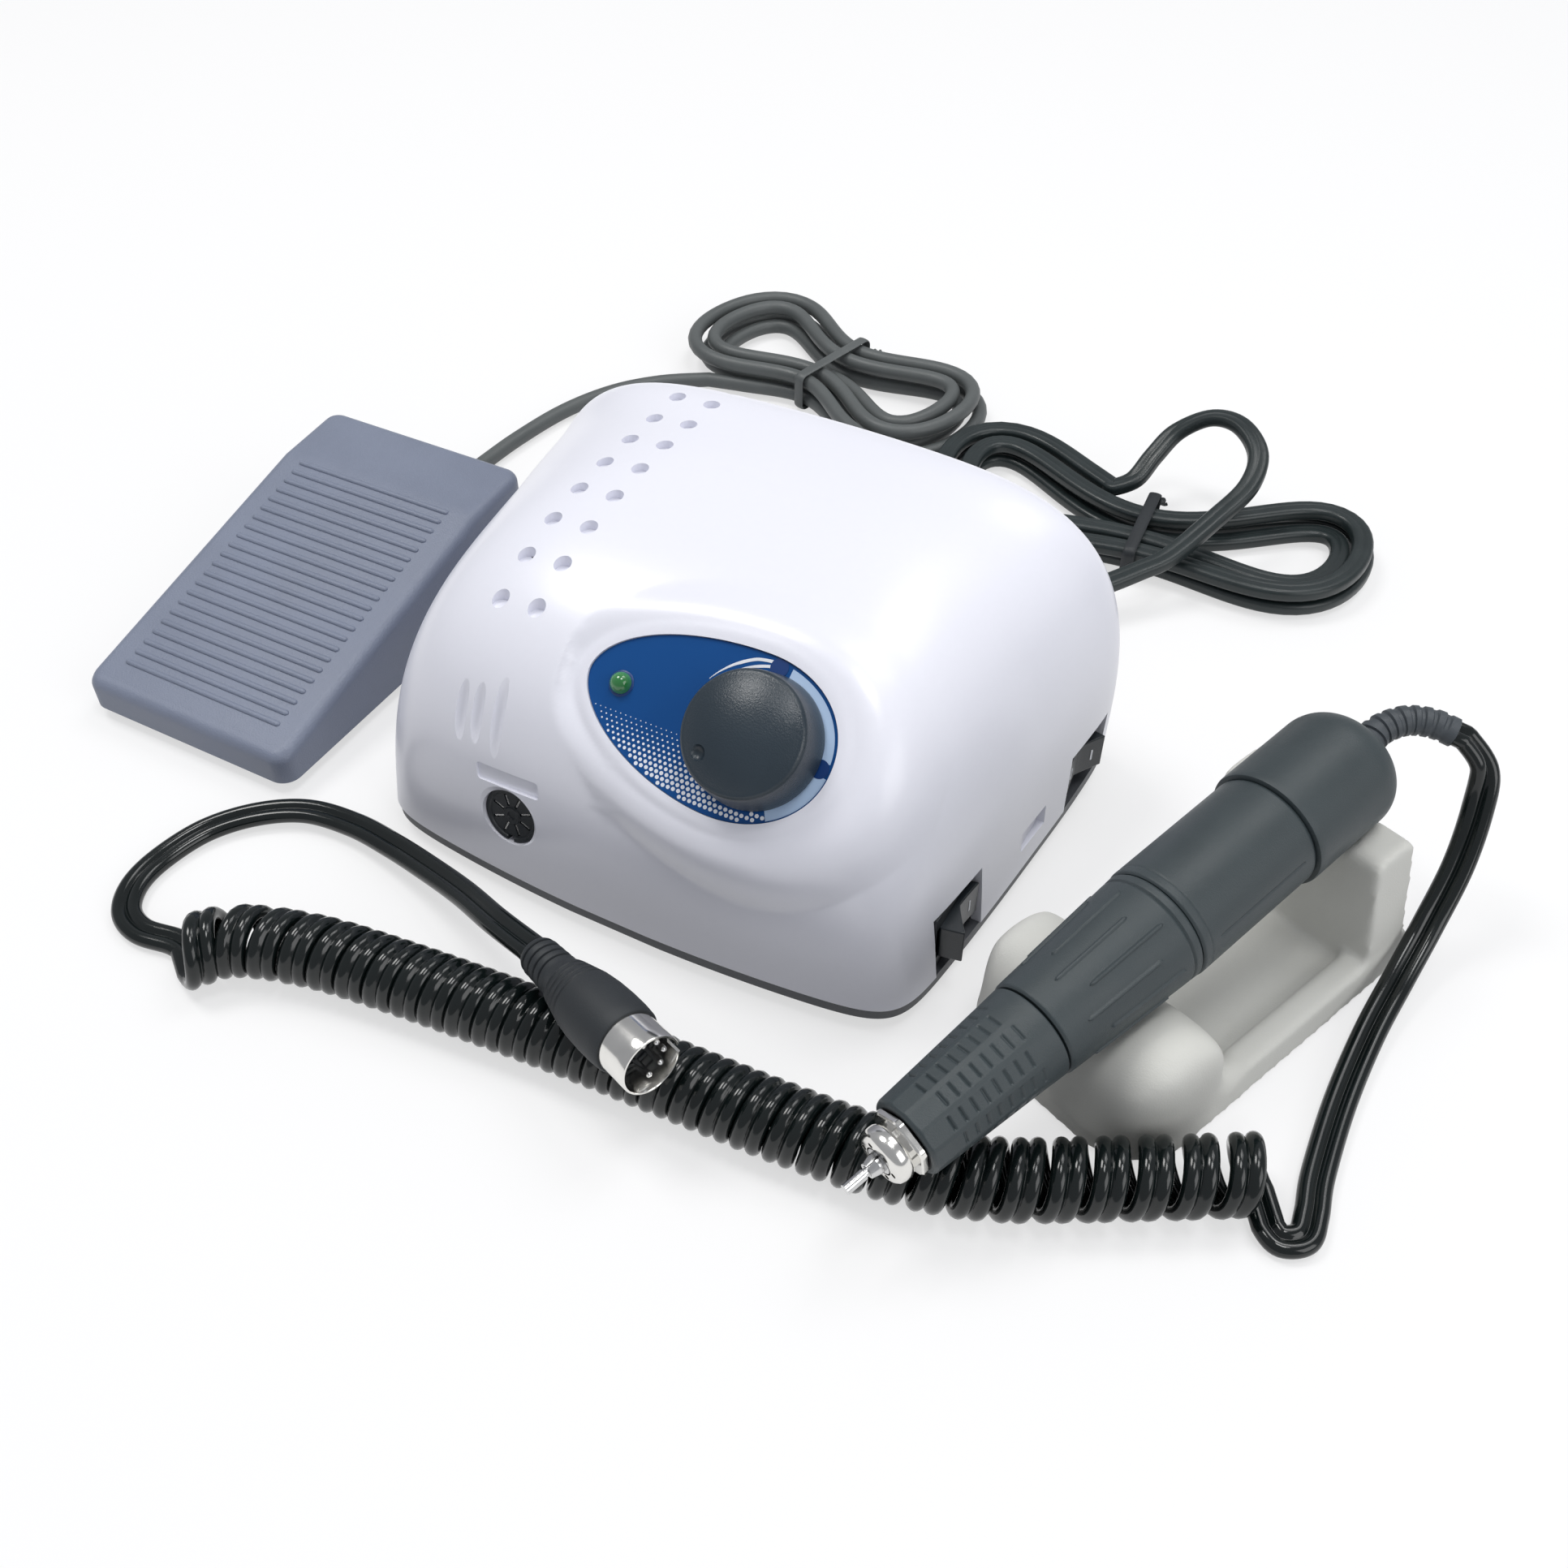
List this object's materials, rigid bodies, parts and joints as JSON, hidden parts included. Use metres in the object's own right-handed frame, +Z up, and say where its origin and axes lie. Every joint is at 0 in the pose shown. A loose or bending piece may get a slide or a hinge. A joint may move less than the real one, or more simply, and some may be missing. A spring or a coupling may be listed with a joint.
{
  "type": "rotary tool with flex shaft",
  "caption": "Bench rotary tool set: control unit with speed dial, corded micromotor handpiece on a cradle, and a ridged foot pedal.",
  "frame": {"origin": "on the table plane, under the middle of the set measured without its cords and plugs", "axes": "+Z up, +X to the right of the control unit as its dial is read, +Y towards the back of the control unit"},
  "size_m": [0.3439, 0.3435, 0.0825],
  "materials": {
    "shell_white": "gloss",
    "tray_grey": "satin",
    "rubber_black": "matte",
    "screw_steel": "satin",
    "dial_blue": "satin",
    "lamp_green": "gloss",
    "knob_slate": "satin",
    "black_plastic": "satin",
    "rocker_black": "satin",
    "core_steel": "laminated",
    "copper_wire": "enamelled",
    "board_green": "satin",
    "hand_grey": "satin",
    "turned_steel": "polished",
    "magnet_dark": "sintered",
    "commutator_copper": "turned",
    "brush_carbon": "matte",
    "cradle_grey": "matte",
    "pedal_slate": "matte",
    "pedal_base_dark": "matte",
    "cord_black": "gloss",
    "plug_chrome": "polished",
    "plug_pin_metal": "plated",
    "cord_grey": "matte",
    "mains_black": "satin"
  },
  "bodies": {
    "set": {"top_shell": "shell_white", "base_tray": "tray_grey", "unit_feet": "rubber_black", "case_screws": "screw_steel", "dial_plate": "dial_blue", "power_lamp": "lamp_green", "speed_pot": "black_plastic", "motor_socket": "black_plastic", "power_switch": "black_plastic", "direction_switch": "black_plastic", "transformer_core": "core_steel", "transformer_winding": "copper_wire", "circuit_board": "board_green", "mains_gland": "rubber_black", "pedal_jack": "black_plastic", "cradle": "cradle_grey", "pedal_base": "pedal_base_dark", "pedal_pin": "turned_steel", "pedal_spring": "turned_steel", "pedal_switch": "black_plastic", "pedal_feet": "rubber_black", "pedal_gland": "rubber_black", "handpiece_lead": "cord_black", "curly_section": "cord_black", "plug_lead": "cord_black", "plug_boot": "rubber_black", "plug_shell": "plug_chrome", "plug_insert": "black_plastic", "plug_pins": "plug_pin_metal", "pedal_lead": "cord_grey", "pedal_hank": "cord_grey", "pedal_tie": "cord_grey", "pedal_tail": "cord_grey", "pedal_plug": "black_plastic", "mains_lead": "mains_black", "mains_hank": "mains_black", "mains_tie": "rubber_black", "mains_tail": "mains_black", "mains_plug": "mains_black"},
    "knob": {"speed_knob": "knob_slate", "pot_shaft": "turned_steel"},
    "power_rocker": {"power_rocker": "rocker_black"},
    "direction_rocker": {"direction_rocker": "rocker_black"},
    "pedal_cover": {"pedal_cover": "pedal_slate"},
    "handpiece": {"nose_grip": "hand_grey", "nose_nut": "hand_grey", "front_housing": "hand_grey", "ball_bearings": "turned_steel", "motor_case": "hand_grey", "stator_magnets": "magnet_dark", "brushes": "brush_carbon", "brush_plate": "black_plastic", "rear_cap": "hand_grey", "cord_boot": "rubber_black"},
    "lock_sleeve": {"lock_sleeve": "hand_grey"},
    "spindle": {"spindle": "turned_steel", "collet": "turned_steel", "rotor": "core_steel", "commutator": "commutator_copper"},
    "test_pin": {"test_pin": "turned_steel"}
  },
  "joints": [
    {"name": "speed_knob_turn", "type": "hinge", "parent": "set", "child": "knob", "pos_m": [0.03165, -0.03036, 0.063], "axis": [0, -0.6428, 0.766], "range_deg": [0, 270]},
    {"name": "power_rocker_tip", "type": "hinge", "parent": "set", "child": "power_rocker", "pos_m": [0.07677, 0.04564, 0.01625], "axis": [0, 0, 1], "range_deg": [0, 24]},
    {"name": "direction_rocker_tip", "type": "hinge", "parent": "set", "child": "direction_rocker", "pos_m": [0.07183, -0.01786, 0.01625], "axis": [0, 0, 1], "range_deg": [-24, 0]},
    {"name": "pedal_press", "type": "hinge", "parent": "set", "child": "pedal_cover", "pos_m": [-0.13335, -0.03936, 0.007], "axis": [1, 0, 0], "range_deg": [-4.5, 0], "stiffness_Nm_per_rad": 1.2, "springref_deg": 6.88, "deforming": ["pedal_spring"]},
    {"name": "handpiece_lift", "type": "slide", "parent": "set", "child": "handpiece", "axis": [0, 0, 1], "range_m": [0, 0.06]},
    {"name": "lock_sleeve_turn", "type": "hinge", "parent": "handpiece", "child": "lock_sleeve", "pos_m": [0.09265, -0.08186, 0.027], "axis": [0.3631, 0.9218, 0.1357], "range_deg": [0, 60]},
    {"name": "spindle_spin", "type": "hinge", "parent": "handpiece", "child": "spindle", "pos_m": [0.09265, -0.08186, 0.027], "axis": [0.3631, 0.9218, 0.1357], "continuous": true},
    {"name": "pin_pull", "type": "slide", "parent": "spindle", "child": "test_pin", "axis": [-0.3631, -0.9218, -0.1357], "range_m": [0, 0.035]}
  ]
}
